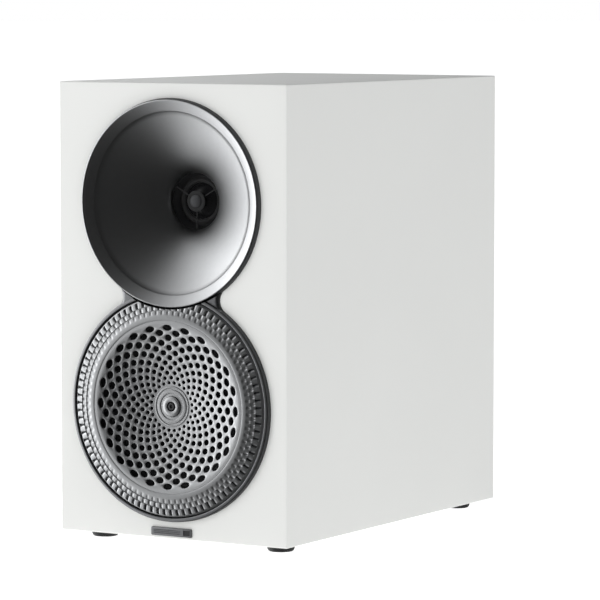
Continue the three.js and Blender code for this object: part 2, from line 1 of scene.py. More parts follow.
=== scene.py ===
"""A white two-way bookshelf loudspeaker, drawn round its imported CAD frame.

Outlines are in millimetres: a radius from a driver's axis, and a depth behind the baffle's front
face (negative is proud of it). Everything becomes metres in the frame's own axes: the drivers
face -Y and +Z is up.
"""
import json
import math

import bmesh
import bpy
from mathutils import Matrix, Vector


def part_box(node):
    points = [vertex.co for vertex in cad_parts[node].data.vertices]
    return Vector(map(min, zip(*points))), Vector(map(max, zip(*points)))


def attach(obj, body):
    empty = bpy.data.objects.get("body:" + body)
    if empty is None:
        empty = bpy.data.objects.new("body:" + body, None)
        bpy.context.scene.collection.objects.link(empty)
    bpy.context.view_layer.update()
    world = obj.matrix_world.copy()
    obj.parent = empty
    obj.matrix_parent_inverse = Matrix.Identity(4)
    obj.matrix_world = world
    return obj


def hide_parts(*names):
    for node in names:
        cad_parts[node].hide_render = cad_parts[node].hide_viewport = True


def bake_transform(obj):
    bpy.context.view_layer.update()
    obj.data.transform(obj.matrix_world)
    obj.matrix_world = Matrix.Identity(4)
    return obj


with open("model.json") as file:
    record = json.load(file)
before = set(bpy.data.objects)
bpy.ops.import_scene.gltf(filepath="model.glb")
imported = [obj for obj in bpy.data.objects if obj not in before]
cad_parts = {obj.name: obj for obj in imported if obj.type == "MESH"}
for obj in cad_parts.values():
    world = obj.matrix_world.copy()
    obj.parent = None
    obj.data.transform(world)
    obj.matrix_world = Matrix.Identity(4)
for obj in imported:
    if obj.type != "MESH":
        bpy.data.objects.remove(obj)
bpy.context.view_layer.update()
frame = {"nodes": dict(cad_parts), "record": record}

MM = 0.001
TAU = 2 * math.pi
CABINET = "cabinet"


# ---- places taken from the frame


def middle(node):
    low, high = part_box(node)
    return (low + high) / 2


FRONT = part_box("front_baffle")[0].y
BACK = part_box("rear_panel")[1].y
BAFFLE_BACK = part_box("front_baffle")[1].y
LOW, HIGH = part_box("front_baffle")
HEART = Vector((0, 0, (LOW.z + HIGH.z) / 2))  # the middle of the cabinet
INNER_LOW, INNER_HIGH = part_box("rear_panel")
TWEETER = middle("tweeter_yoke")
WOOFER = middle("woofer_yoke")
PORT = middle("port_tube")
CUP = middle("terminal_cup")
REAR = (BACK - FRONT) / MM  # the rear panel's face, as a depth


# ---- camera

EYE_BACK = 2.2074  # from the baffle's plane
EYE_SIDE = 1.4188  # from the middle of the speaker
EYE_HEIGHT = 0.3862  # above the cabinet's underside
AIM_SIDE = 0.013  # what the camera looks at, from the middle of the speaker
AIM_DROP = 0.002  # and below half the cabinet's height
FOCAL_LENGTH = 226
SENSOR = 36


def placed(name, data):
    made = bpy.data.objects.new(name, data)
    bpy.context.scene.collection.objects.link(made)
    return made


def camera():
    data = bpy.data.cameras.new("camera")
    data.lens = FOCAL_LENGTH
    data.sensor_width = SENSOR
    eye = placed("camera", data)
    eye.location = (EYE_SIDE, FRONT - EYE_BACK, LOW.z + EYE_HEIGHT)
    target = HEART + Vector((AIM_SIDE, 0, -AIM_DROP))
    eye.rotation_euler = (target - eye.location).to_track_quat("-Z", "Y").to_euler()
    data.clip_end = 100
    bpy.context.scene.camera = eye


# ---- materials

COAT_ROUGHNESS = 0.1
COLOUR_MIX = (0.35, 0.65)  # the noise values where a finish is all its second and all its first colour
ROUGH_GRAIN = 2.3  # how much finer the roughness varies than the colour
MATERIALS = {}


def calculated(tree, operation, one, two):
    """A math node. Each of its two values is a number or another node's output."""
    node = tree.nodes.new("ShaderNodeMath")
    node.operation = operation
    for socket, value in zip(node.inputs, (one, two)):
        if isinstance(value, (int, float)):
            socket.default_value = value
        else:
            tree.links.new(value, socket)
    return node.outputs["Value"]


def surface(name, colour, *, tint, grain, rough, bump, spread=0.05, bump_grain=800,
            height=0.0001, metal=0.0, coat=0.0, stretch=(1, 1, 1), specular=0.5, sheen=0.0):
    """A principled material whose colour, roughness and bump each vary with their own noise."""
    made = bpy.data.materials.new(name)
    MATERIALS[name] = made
    made.use_nodes = True
    tree = made.node_tree
    shader = tree.nodes["Principled BSDF"]
    shader.inputs["Metallic"].default_value = metal
    shader.inputs["Coat Weight"].default_value = coat
    shader.inputs["Coat Roughness"].default_value = COAT_ROUGHNESS
    shader.inputs["Specular IOR Level"].default_value = specular
    shader.inputs["Sheen Weight"].default_value = sheen
    place = tree.nodes.new("ShaderNodeTexCoord")
    mapping = tree.nodes.new("ShaderNodeMapping")
    mapping.inputs["Scale"].default_value = stretch
    tree.links.new(place.outputs["Object"], mapping.inputs["Vector"])

    def noise(scale, detail=3):
        node = tree.nodes.new("ShaderNodeTexNoise")
        node.inputs["Scale"].default_value = scale
        node.inputs["Detail"].default_value = detail
        tree.links.new(mapping.outputs["Vector"], node.inputs["Vector"])
        return node.outputs["Fac"]

    ramp = tree.nodes.new("ShaderNodeValToRGB")
    for element, position, shade in zip(ramp.color_ramp.elements, COLOUR_MIX, (tint, colour)):
        element.position = position
        element.color = (*shade, 1)
    tree.links.new(noise(grain), ramp.inputs["Fac"])
    tree.links.new(ramp.outputs["Color"], shader.inputs["Base Color"])

    span = tree.nodes.new("ShaderNodeMapRange")
    span.inputs["To Min"].default_value = rough - spread
    span.inputs["To Max"].default_value = rough + spread
    tree.links.new(noise(grain * ROUGH_GRAIN), span.inputs["Value"])
    tree.links.new(span.outputs["Result"], shader.inputs["Roughness"])

    relief = tree.nodes.new("ShaderNodeBump")
    relief.inputs["Strength"].default_value = bump
    relief.inputs["Distance"].default_value = height
    tree.links.new(noise(bump_grain, 2), relief.inputs["Height"])
    tree.links.new(relief.outputs["Normal"], shader.inputs["Normal"])
    return made


def weave(made, scale, depth):
    """Gives a material the relief of crossed threads, for cloth and woven fibre."""
    tree = made.node_tree
    relief = next(n for n in tree.nodes if n.type == "BUMP")
    mapping = next(n for n in tree.nodes if n.type == "MAPPING")
    threads = []
    for axis in ("X", "Z"):
        wave = tree.nodes.new("ShaderNodeTexWave")
        wave.bands_direction = axis
        wave.inputs["Scale"].default_value = scale
        wave.inputs["Distortion"].default_value = 0.4
        tree.links.new(mapping.outputs["Vector"], wave.inputs["Vector"])
        threads.append(wave.outputs["Fac"])
    tree.links.new(calculated(tree, "MULTIPLY", *threads), relief.inputs["Height"])
    relief.inputs["Distance"].default_value = depth


surface("white_lacquer", (0.86, 0.865, 0.845), tint=(0.85, 0.855, 0.835), grain=9, rough=0.42,
        spread=0.02, bump=0.05, bump_grain=900, height=0.00005, specular=0.2)
surface("raw_board", (0.46, 0.33, 0.2), tint=(0.36, 0.25, 0.14), grain=700, rough=0.85, bump=0.4,
        bump_grain=1500, stretch=(1, 1, 6))
surface("satin_silver", (0.39, 0.393, 0.397), tint=(0.38, 0.383, 0.387), grain=300, rough=0.38,
        spread=0.02, bump=0.0, metal=1.0)
surface("pewter", (0.36, 0.363, 0.367), tint=(0.34, 0.343, 0.347), grain=900, rough=0.37, spread=0.03,
        bump=0.02, bump_grain=2600, height=0.00003, metal=1.0)
surface("grey_polymer", (0.3, 0.303, 0.307), tint=(0.28, 0.283, 0.287), grain=300, rough=0.3, spread=0.03,
        bump=0.03, bump_grain=2000, metal=0.9)
surface("dark_pewter", (0.2, 0.202, 0.206), tint=(0.18, 0.182, 0.186), grain=900, rough=0.42, spread=0.03,
        bump=0.02, bump_grain=2600, height=0.00003, metal=1.0)
# Dark metal: the real colour of the phase plug's face, and painted shade on the horn bezel's outer wall, the
# fascia ridge's outer wall and the groove bottoms of the ribbed ring's outer row.
surface("dark_metal_and_painted_shade", (0.09, 0.091, 0.094), tint=(0.08, 0.081, 0.084), grain=900, rough=0.5, bump=0.02,
        metal=1.0)
surface("black_plastic", (0.014, 0.014, 0.015), tint=(0.01, 0.01, 0.011), grain=200, rough=0.45,
        bump=0.25, bump_grain=2200)
surface("black_rubber", (0.018, 0.018, 0.019), tint=(0.012, 0.012, 0.012), grain=160, rough=0.72,
        bump=0.2, bump_grain=1500, sheen=0.1)
surface("cast_alloy", (0.05, 0.05, 0.055), tint=(0.035, 0.035, 0.04), grain=300, rough=0.55, bump=0.5,
        bump_grain=1400, metal=0.6)
weave(surface("cone_fibre", (0.016, 0.017, 0.019), tint=(0.01, 0.01, 0.012), grain=500, rough=0.5,
              bump=0.6), 160, 0.0002)
weave(surface("spider_cloth", (0.5, 0.27, 0.07), tint=(0.4, 0.2, 0.05), grain=500, rough=0.85, bump=0.6,
              sheen=0.3), 220, 0.0002)
surface("ferrite", (0.03, 0.03, 0.032), tint=(0.02, 0.02, 0.021), grain=300, rough=0.7, bump=0.5,
        bump_grain=1800)
surface("zinc_steel", (0.5, 0.51, 0.52), tint=(0.4, 0.41, 0.43), grain=90, rough=0.35, bump=0.15,
        bump_grain=900, metal=1.0)
surface("copper", (0.72, 0.28, 0.12), tint=(0.55, 0.2, 0.08), grain=200, rough=0.3, bump=0.5,
        bump_grain=1600, metal=1.0, stretch=(1, 1, 8))
surface("black_dome", (0.012, 0.012, 0.013), tint=(0.009, 0.009, 0.01), grain=300, rough=0.25, bump=0.05,
        bump_grain=1500, metal=0.3)
surface("circuit_board", (0.02, 0.1, 0.045), tint=(0.014, 0.07, 0.03), grain=250, rough=0.45, bump=0.3,
        bump_grain=600)
surface("capacitor_film", (0.6, 0.43, 0.07), tint=(0.52, 0.36, 0.05), grain=160, rough=0.3, bump=0.1,
        bump_grain=400, coat=0.4)
surface("ceramic", (0.7, 0.67, 0.6), tint=(0.6, 0.57, 0.5), grain=400, rough=0.85, bump=0.4,
        bump_grain=1200)
surface("gold_plate", (0.9, 0.62, 0.24), tint=(0.85, 0.56, 0.2), grain=300, rough=0.18, spread=0.04,
        bump=0.04, bump_grain=1500, metal=1.0)
surface("red_plastic", (0.42, 0.012, 0.012), tint=(0.36, 0.01, 0.01), grain=200, rough=0.3, bump=0.1,
        bump_grain=1600, coat=0.3)
surface("clear_nylon", (0.75, 0.75, 0.72), tint=(0.7, 0.7, 0.67), grain=200, rough=0.4, bump=0.1,
        bump_grain=1200)
surface("foam", (0.035, 0.036, 0.04), tint=(0.012, 0.012, 0.014), grain=900, rough=0.95, bump=1.0,
        bump_grain=1100, height=0.001)
surface("red_sleeve", (0.3, 0.03, 0.025), tint=(0.25, 0.022, 0.02), grain=120, rough=0.5, bump=0.15,
        bump_grain=900)


# ---- mesh tools


TURN_STEPS = 4


def rounded(outline):
    """Replaces each (radius, depth, cut) corner by a smooth turn that starts cut before it."""
    points = []
    count = len(outline)
    for i, corner in enumerate(outline):
        here = Vector(corner[:2])
        if len(corner) < 3:
            points.append(here)
            continue
        before = Vector(outline[(i - 1) % count][:2]) - here
        after = Vector(outline[(i + 1) % count][:2]) - here
        start = here + before.normalized() * min(corner[2], before.length * 0.49)
        end = here + after.normalized() * min(corner[2], after.length * 0.49)
        for step in range(TURN_STEPS + 1):
            t = step / TURN_STEPS
            points.append(start * (1 - t) ** 2 + here * 2 * t * (1 - t) + end * t * t)
    return [tuple(p) for p in points]


def at(centre, radius, depth, angle):
    """The point at that radius and angle round a driver's axis, and that depth."""
    return Vector((
        centre.x + radius * MM * math.sin(angle),
        FRONT + depth * MM,
        centre.z + radius * MM * math.cos(angle),
    ))


def skin(bm, one, two):
    """Faces between two loops of vertices of one length, or between a loop and a single point."""
    if len(one) == 1 and len(two) == 1:
        return
    for i in range(max(len(one), len(two))):
        j = (i + 1) % max(len(one), len(two))
        corners = [one[i % len(one)], one[j % len(one)], two[j % len(two)], two[i % len(two)]]
        bm.faces.new(list(dict.fromkeys(corners)))


def loft(bm, loops, closed):
    for one, two in zip(loops, loops[1:]):
        skin(bm, one, two)
    if closed:
        skin(bm, loops[-1], loops[0])
    else:
        for end in (loops[0], loops[-1]):
            if len(end) > 2:
                bm.faces.new(end)


def add_ring(bm, outline, centre, facets):
    """Turns an outline about a driver's axis. It closes on itself, or starts and ends on the axis."""
    loops = []
    for radius, depth in outline:
        angles = [0.0] if radius < 1e-6 else [i * TAU / facets for i in range(facets)]
        loops.append([bm.verts.new(at(centre, radius, depth, a)) for a in angles])
    loft(bm, loops, closed=outline[0][0] > 1e-6)


def to_object(name, bm, materials, sharp=30):
    bmesh.ops.recalc_face_normals(bm, faces=bm.faces)
    mesh = bpy.data.meshes.new(name)
    bm.to_mesh(mesh)
    bm.free()
    made = placed(name, mesh)
    for material in materials if isinstance(materials, (list, tuple)) else [materials]:
        mesh.materials.append(MATERIALS[material])
    mesh.shade_smooth()
    mesh.set_sharp_from_angle(angle=math.radians(sharp))
    return made


def settle(piece, body=CABINET, stands_for=()):
    """Puts a piece on its body and hides the CAD nodes that it stands for."""
    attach(piece, body)
    if stands_for:
        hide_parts(*([stands_for] if isinstance(stands_for, str) else stands_for))
    return piece


def turned(name, outline, centre, slot, *, body=CABINET, stands_for=(), facets=128):
    bm = ring_bmesh(rounded(outline), centre, facets)
    return settle(to_object(name, bm, slot), body, stands_for)


def face_radius(face, centre):
    """How far the middle of a face is from a driver's axis, in millimetres."""
    return Vector((face.center.x - centre.x, face.center.z - centre.z)).length / MM


def second_material(piece, chosen):
    """Gives a piece's second material to the faces that pass the test."""
    for face in piece.data.polygons:
        if chosen(face):
            face.material_index = 1


def combined(operation, sources):
    """Applies the second bmesh and each one after it to the first, and gives a new bmesh."""
    made = []
    for source in sources:
        bmesh.ops.recalc_face_normals(source, faces=source.faces)
        mesh = bpy.data.meshes.new("temporary")
        source.to_mesh(mesh)
        source.free()
        made.append(placed("temporary", mesh))
    body, *tools = made
    for tool in tools:
        modifier = body.modifiers.new("combined", "BOOLEAN")
        modifier.operation = operation
        modifier.solver = "EXACT"
        modifier.object = tool
    bpy.context.view_layer.update()
    result = bmesh.new()
    result.from_mesh(body.evaluated_get(bpy.context.evaluated_depsgraph_get()).to_mesh())
    for thing in made:
        mesh = thing.data
        bpy.data.objects.remove(thing)
        bpy.data.meshes.remove(mesh)
    return result


def carve(body, *tools):
    return combined("DIFFERENCE", (body, *tools))


def join(body, *others):
    return combined("UNION", (body, *others))


def ring_bmesh(outline, centre, facets=128):
    bm = bmesh.new()
    add_ring(bm, outline, centre, facets)
    return bm


def rod_bmesh(centre, radius, near, far, facets=128):
    """A round rod along a driver's axis, between two depths."""
    return ring_bmesh([(0, near), (radius, near), (radius, far), (0, far)], centre, facets)


def box_bmesh(low, high, edge=0.0, steps=3):
    bm = bmesh.new()
    size = Vector(high) - Vector(low)
    place = Matrix.Translation((Vector(high) + Vector(low)) / 2) @ Matrix.Diagonal((*size, 1))
    bmesh.ops.create_cube(bm, size=1, matrix=place)
    if edge:
        bmesh.ops.bevel(bm, geom=bm.edges[:], offset=edge, segments=steps, profile=0.5, affect="EDGES")
    return bm


def keep_below(bm, point, normal):
    """Cuts a convex solid with a plane, drops what is on the normal's side and closes the cut."""
    everything = bm.verts[:] + bm.edges[:] + bm.faces[:]
    bmesh.ops.bisect_plane(bm, geom=everything, plane_co=point, plane_no=normal, clear_outer=True)
    rim = [edge for edge in bm.edges if edge.is_boundary]
    if rim:
        bmesh.ops.contextual_create(bm, geom=rim)


def smooth_line(points, per_span=6):
    """A Catmull-Rom curve through the points."""
    points = [Vector(p) for p in points]
    ends = [points[0] * 2 - points[1], *points, points[-1] * 2 - points[-2]]
    line = []
    for a, b, c, d in zip(ends, ends[1:], ends[2:], ends[3:]):
        for step in range(per_span):
            t = step / per_span
            line.append(0.5 * (2 * b + (c - a) * t + (2 * a - 5 * b + 4 * c - d) * t * t
                               + (3 * b - a - 3 * c + d) * t ** 3))
    return [tuple(p) for p in [*line, points[-1]]]


# ---- cabinet

EDGE = 1.1 * MM  # the lacquered box's rounded edges
EDGE_STEPS = 6
BOARD_EDGE = 0.35 * MM
FOOT_FACETS = 64
TWEETER_HOLE = 65.5
WOOFER_HOLE = 70
REBATE_RADIUS = 80.3
REBATE_DEPTH = 6
PORT_HOLE = 28
CUP_HOLE = 28.6
CUT_PAST = 2  # how far a cutter goes past the board that it cuts


def cabinet_block():
    return box_bmesh((LOW.x, FRONT, LOW.z), (HIGH.x, BACK, HIGH.z), EDGE, EDGE_STEPS)


def baffle():
    block = cabinet_block()
    keep_below(block, (0, BAFFLE_BACK, 0), (0, 1, 0))
    through = (BAFFLE_BACK - FRONT) / MM + CUT_PAST
    block = carve(
        block,
        rod_bmesh(TWEETER, TWEETER_HOLE, -CUT_PAST, through),
        ring_bmesh([(0, -CUT_PAST), (REBATE_RADIUS, -CUT_PAST), (REBATE_RADIUS, REBATE_DEPTH),
                    (WOOFER_HOLE, REBATE_DEPTH), (WOOFER_HOLE, through), (0, through)], WOOFER),
    )
    piece = to_object("cabinet_front", block, "white_lacquer", sharp=20)
    settle(piece, stands_for="front_baffle")


def boards():
    corner = Vector((INNER_HIGH.x, 0, INNER_HIGH.z))
    for node, side in (
        ("left_side_panel", Vector((-1, 0, 0))),
        ("right_side_panel", Vector((1, 0, 0))),
        ("top_panel", Vector((0, 0, 1))),
        ("bottom_panel", Vector((0, 0, -1))),
    ):
        block = cabinet_block()
        keep_below(block, (0, BAFFLE_BACK, 0), (0, -1, 0))
        inside = HEART + Vector((side.x * corner.x, 0, side.z * (corner.z - HEART.z)))
        keep_below(block, inside, -side)
        along = Vector((side.z, 0, side.x))
        for way in (along, -along):
            outer = HEART + Vector((
                (side.x + way.x) * corner.x, 0, (side.z + way.z) * (corner.z - HEART.z)))
            keep_below(block, outer, way - side)
        piece = to_object(node.replace("panel", "board"), block, "white_lacquer", sharp=20)
        settle(piece, stands_for=node)


def rear_board():
    block = box_bmesh(INNER_LOW, (INNER_HIGH.x, BACK, INNER_HIGH.z), BOARD_EDGE, 2)
    near = (INNER_LOW.y - FRONT) / MM - CUT_PAST
    far = REAR + CUT_PAST
    block = carve(
        block,
        rod_bmesh(PORT, PORT_HOLE, near, far, 96),
        rod_bmesh(CUP, CUP_HOLE, near, far, 96),
    )
    piece = to_object("rear_board", block, "white_lacquer", sharp=20)
    settle(piece, stands_for="rear_panel")


def feet():
    for node in ("foot_front_left", "foot_front_right", "foot_rear_left", "foot_rear_right"):
        low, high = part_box(node)
        centre = (low + high) / 2
        radius = (high.y - low.y) / 2 / MM
        tall = (high.z - low.z) / MM
        outline = rounded([
            (0, 1.6), (2.2, 1.6, 0.3), (2.4, 0.5, 0.3), (3.6, 0.0, 0.4), (radius - 1.6, 0.0, 0.9),
            (radius - 0.3, 1.6, 0.6), (radius, tall, 0.4), (0, tall),
        ])
        bm = bmesh.new()
        loops = []
        for r, z in outline:
            angles = [0.0] if r < 1e-6 else [i * TAU / FOOT_FACETS for i in range(FOOT_FACETS)]
            loop = []
            for a in angles:
                x = centre.x + r * MM * math.cos(a)
                y = centre.y + r * MM * math.sin(a)
                loop.append(bm.verts.new((x, y, low.z + z * MM)))
            loops.append(loop)
        loft(bm, loops, closed=False)
        settle(to_object(node.replace("foot", "rubber_foot"), bm, "black_rubber"),
               stands_for=node)


# ---- front trim

HORN_RADIUS = 73.5
FASCIA_RADIUS = 81.25
FASCIA_BORE = 78.25
WAIST_FILLET = 9.5
BEZEL_CLEARANCE = 0.4  # between the horn's bezel and the pieces that it cuts into


def waist_outline(inset):
    """The figure of eight round both drivers, moved inwards by inset, as (x, z) in millimetres."""
    apart = (TWEETER.z - WOOFER.z) / MM
    woofer, tweeter, fillet = FASCIA_RADIUS - inset, HORN_RADIUS - inset, WAIST_FILLET + inset
    rise = (apart ** 2 + (woofer + fillet) ** 2 - (tweeter + fillet) ** 2) / (2 * apart)
    out = math.sqrt((woofer + fillet) ** 2 - rise ** 2)
    low, high = math.atan2(rise, out), math.atan2(rise - apart, out)
    arcs = [
        ((0, 0), woofer, math.pi - low, TAU + low, 144),
        ((out, rise), fillet, math.pi + low, math.pi + high, 16),
        ((0, apart), tweeter, high, math.pi - high, 96),
        ((-out, rise), fillet, -high, -low, 16),
    ]
    points = []
    for (cx, cz), radius, start, end, count in arcs:
        for i in range(count):
            angle = start + (end - start) * i / count
            points.append((cx + radius * math.cos(angle), cz + radius * math.sin(angle)))
    return points


# How far in from the figure of eight each step of the fascia's edge is, and its depth.
FASCIA_SECTION = [
    (0.0, 0.0), (0.0, -0.35), (0.25, -0.8), (1.0, -1.7), (1.6, -2.15), (2.4, -2.4), (3.4, -2.45),
]
RIDGE_SECTION = [(FASCIA_BORE, -0.4), (81.2, -0.4), (81.15, -1.6, 0.3), (80.95, -3.8, 0.4), (80.5, -4.2, 0.3),
                 (78.9, -4.45, 0.3), (78.35, -4.1, 0.3), (FASCIA_BORE, -3.4)]
# Past this radius the ridge's outer wall is painted dark, as shade.
RIDGE_FLANK = 80.6


def bezel_cutter(near, far):
    """What the horn's bezel takes out of the trim around the woofer."""
    return rod_bmesh(TWEETER, HORN_RADIUS + BEZEL_CLEARANCE, near, far, 192)


def fascia():
    plate = bmesh.new()
    loops = [
        [plate.verts.new((x * MM, FRONT + depth * MM, WOOFER.z + z * MM)) for x, z in waist_outline(inset)]
        for inset, depth in FASCIA_SECTION
    ]
    loft(plate, loops, closed=False)
    ridge = ring_bmesh(rounded(RIDGE_SECTION), WOOFER, 192)
    near, far = -8, 4
    bm = carve(join(plate, ridge), rod_bmesh(WOOFER, FASCIA_BORE, near, far, 192), bezel_cutter(near, far))
    piece = to_object("driver_fascia", bm, ["dark_pewter", "dark_metal_and_painted_shade"], sharp=24)
    horn_bottom = TWEETER.z - HORN_RADIUS * MM
    # The ridge's outer wall below the horn gets painted shade.
    second_material(piece, lambda face: face_radius(face, WOOFER) > RIDGE_FLANK
                    and face.center.z < horn_bottom and face.normal.y > -0.75)
    settle(piece, stands_for="woofer_fascia")


PLATE_MARGIN = 1.1 * MM
WINDOW_SINK = 0.35 * MM
LINE_SINK = 0.25 * MM
LINE_PITCH = 1.1 * MM


def nameplate():
    low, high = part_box("nameplate")
    plate = box_bmesh(low, high)
    upright = [e for e in plate.edges if abs((e.verts[0].co - e.verts[1].co).normalized().y) > 0.9]
    bmesh.ops.bevel(plate, geom=upright, offset=1 * MM, segments=5, profile=0.5, affect="EDGES")
    rim = [e for e in plate.edges if all(v.co.y < low.y + 1e-6 for v in e.verts)]
    bmesh.ops.bevel(plate, geom=rim, offset=0.3 * MM, segments=3, profile=0.5, affect="EDGES")
    width = high.x - low.x
    window = box_bmesh((high.x - 0.2 * width, low.y - 1 * MM, low.z + PLATE_MARGIN),
                       (high.x - PLATE_MARGIN, low.y + WINDOW_SINK, high.z - PLATE_MARGIN))
    lines = []
    for i in range(3):
        z = low.z + 1.9 * MM + i * LINE_PITCH
        lines.append(box_bmesh((low.x + 2.4 * MM, low.y - 1 * MM, z - 0.2 * MM),
                               (high.x - 0.27 * width, low.y + LINE_SINK, z + 0.2 * MM)))
    plate = carve(plate, window, *lines)
    piece = to_object("front_plate", plate, ["dark_pewter", "black_plastic"], sharp=24)

    def is_sunk(face):
        corners = [piece.data.vertices[v].co.y for v in face.vertices]
        return min(corners) > low.y + 0.2 * MM and face.center.y < low.y + 0.5 * MM and face.normal.y < -0.9

    second_material(piece, is_sunk)
    settle(piece, stands_for="nameplate")


# ---- tweeter

HORN_MOUTH = 63.6
HORN_THROAT = 20
THROAT_DEPTH = 33
MOUTH_DEPTH = 0.7
HORN_WALL = 2
FLARE_STEPS = 40
BEZEL_FLANK = 1.2  # how much of the bezel's edge is painted dark, as shade
PLUG_FACE = 4.5  # radius of the phase plug's metal face


def horn_radius(depth):
    """The flare is a hyperbola: parallel to the axis at the throat and nearly straight at the mouth."""
    slope = math.sqrt(HORN_MOUTH ** 2 - HORN_THROAT ** 2) / (THROAT_DEPTH - MOUTH_DEPTH)
    return math.hypot(HORN_THROAT, (THROAT_DEPTH - depth) * slope)


def horn():
    flare = []
    for i in range(FLARE_STEPS + 1):
        depth = MOUTH_DEPTH + (i / FLARE_STEPS) ** 0.85 * (THROAT_DEPTH - MOUTH_DEPTH)
        flare.append((horn_radius(depth), depth))
    back = [(horn_radius(d) + HORN_WALL, d) for d in (28, 24, 20, 16, 12, 8, 4, 1.6)]
    outline = rounded([
        (HORN_RADIUS, 0), (HORN_RADIUS, -1.1, 0.6), (72.65, -4.05, 0.7), (71.9, -4.5, 0.6), (64.5, -0.3, 0.4),
        *flare, (HORN_THROAT, THROAT_DEPTH), (30, THROAT_DEPTH), (30, 30), (25, 30), *back, (65.2, 0, 0.2),
    ])
    bm = ring_bmesh(outline, TWEETER, 192)
    piece = to_object("horn_flare", bm, ["satin_silver", "dark_metal_and_painted_shade"])
    # The bezel's outer wall gets the dark material: painted shade.
    second_material(piece, lambda face: face_radius(face, TWEETER) > HORN_RADIUS - BEZEL_FLANK
                    and face.normal.y > -0.7)
    settle(piece, stands_for="tweeter_horn")


def phase_plug():
    button = rounded([(0, 31.3), (2.5, 31.35), (4.5, 31.7, 0.5), (4.9, 32.1, 0.3), (7.0, 32.2, 0.4),
                      (7.6, 32.7, 0.3), (5.2, 34.1, 0.5), (0, 34.4)])
    bm = ring_bmesh(button, TWEETER, 64)
    add_ring(bm, [(20.4, 33.3), (21.8, 33.3), (21.8, 34.3), (20.4, 34.3)], TWEETER, 96)
    spoke_low = (-0.4 * MM, FRONT + 33.5 * MM, 4.2 * MM)
    spoke_high = (0.4 * MM, FRONT + 34.2 * MM, 20.9 * MM)
    for i in range(3):
        turn = Matrix.Rotation(i * TAU / 3 + math.pi / 3, 4, "Y")
        spoke = box_bmesh(spoke_low, spoke_high, 0.15 * MM)
        spoke.transform(Matrix.Translation((TWEETER.x, 0, TWEETER.z)) @ turn)
        mesh = bpy.data.meshes.new("spoke")
        spoke.to_mesh(mesh)
        spoke.free()
        bm.from_mesh(mesh)
        bpy.data.meshes.remove(mesh)
    piece = to_object("throat_plug", bm, ["black_rubber", "dark_metal_and_painted_shade"])
    second_material(piece, lambda face: face_radius(face, TWEETER) < PLUG_FACE
                    and face.center.y < FRONT + 32 * MM)
    settle(piece, stands_for="phase_plug")


DOME_TOP = 35.6
DOME_DROP = 4.5  # from its top to its edge
DOME_RADIUS = 12.7
DOME_SKIN = 0.4


def dome_depth(radius):
    return DOME_TOP + DOME_DROP * (radius / DOME_RADIUS) ** 2


def tweeter_inside():
    moving = "tweeter_diaphragm"
    dome = [(r, dome_depth(r)) for r in (0, 2, 4, 6, 8, 10, 11.5, DOME_RADIUS)]
    dome += [(r, dome_depth(r) + DOME_SKIN) for r in (11.9, 10, 8, 6, 4, 2, 0)]
    turned("dome", dome, TWEETER, "black_dome", body=moving, stands_for="tweeter_dome")
    turned("dome_coil", [(12.4, 40.6), (12.8, 40.6), (12.8, 45.4), (12.4, 45.4)], TWEETER, "black_plastic",
           body=moving, stands_for="tweeter_voice_coil")
    half_roll("dome_surround", [(18.4, 40.1), (16.7, 40.1), (16.1, 39.5), (15.4, 38.95), (14.8, 38.8)],
              [(14.8, 38.8), (14.2, 38.95), (13.5, 39.5), (13.0, 40.2)], 0.3, TWEETER, "black_rubber", moving,
              "tweeter_surround")
    for name, slot, node, outline in (
        ("throat_washer", "black_rubber", "throat_gasket",
         [(22.1, 33.3), (30, 33.3), (30, 34.3), (22.1, 34.3)]),
        ("dome_faceplate", "black_plastic", "tweeter_faceplate",
         [(20.2, 34.6, 0.4), (31, 34.6), (31, 39.6, 0.6), (18.6, 39.6), (17.2, 38.6, 0.4)]),
        ("dome_top_plate", "zinc_steel", "tweeter_top_plate",
         [(13.5, 40.9, 0.3), (30, 40.9, 0.5), (30, 44.4, 0.5), (13.5, 44.4, 0.3)]),
        ("dome_magnet", "ferrite", "tweeter_magnet",
         [(15.5, 44.7, 0.6), (30, 44.7, 0.8), (30, 54.7, 0.8), (15.5, 54.7, 0.6)]),
        ("dome_yoke", "zinc_steel", "tweeter_yoke",
         [(4, 41.5, 0.4), (11.8, 41.5, 0.4), (11.8, 55, 0.5), (30, 55, 0.5), (30, 60, 1), (4, 60, 0.4)]),
        ("rear_chamber", "black_plastic", "tweeter_rear_chamber",
         [(0, 80), (25, 80, 1), (25, 60.3), (27, 60.3), (27, 82, 2), (0, 82)]),
    ):
        turned(name, outline, TWEETER, slot, stands_for=node)


def sheet_outline(line, thickness):
    """A closed outline: a line of (radius, depth) points and the same line moved back."""
    return [*line, *[(r, d + thickness) for r, d in reversed(line)]]


def half_roll(name, outer, inner, thickness, centre, slot, moving, node):
    """A surround in two parts: the outer one is fixed to the cabinet, the inner one is on the moving body."""
    bm = ring_bmesh(sheet_outline(smooth_line(outer), thickness), centre)
    roll = to_object(name, bm, slot)
    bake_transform(roll)
    settle(roll, stands_for=node)
    turned(f"{name}_inner", sheet_outline(smooth_line(inner), thickness), centre, slot, body=moving)


# ---- ribbed ring and surround

RIBS = 87
RIB_STEPS = 8
RIB_START = math.radians(1.45)
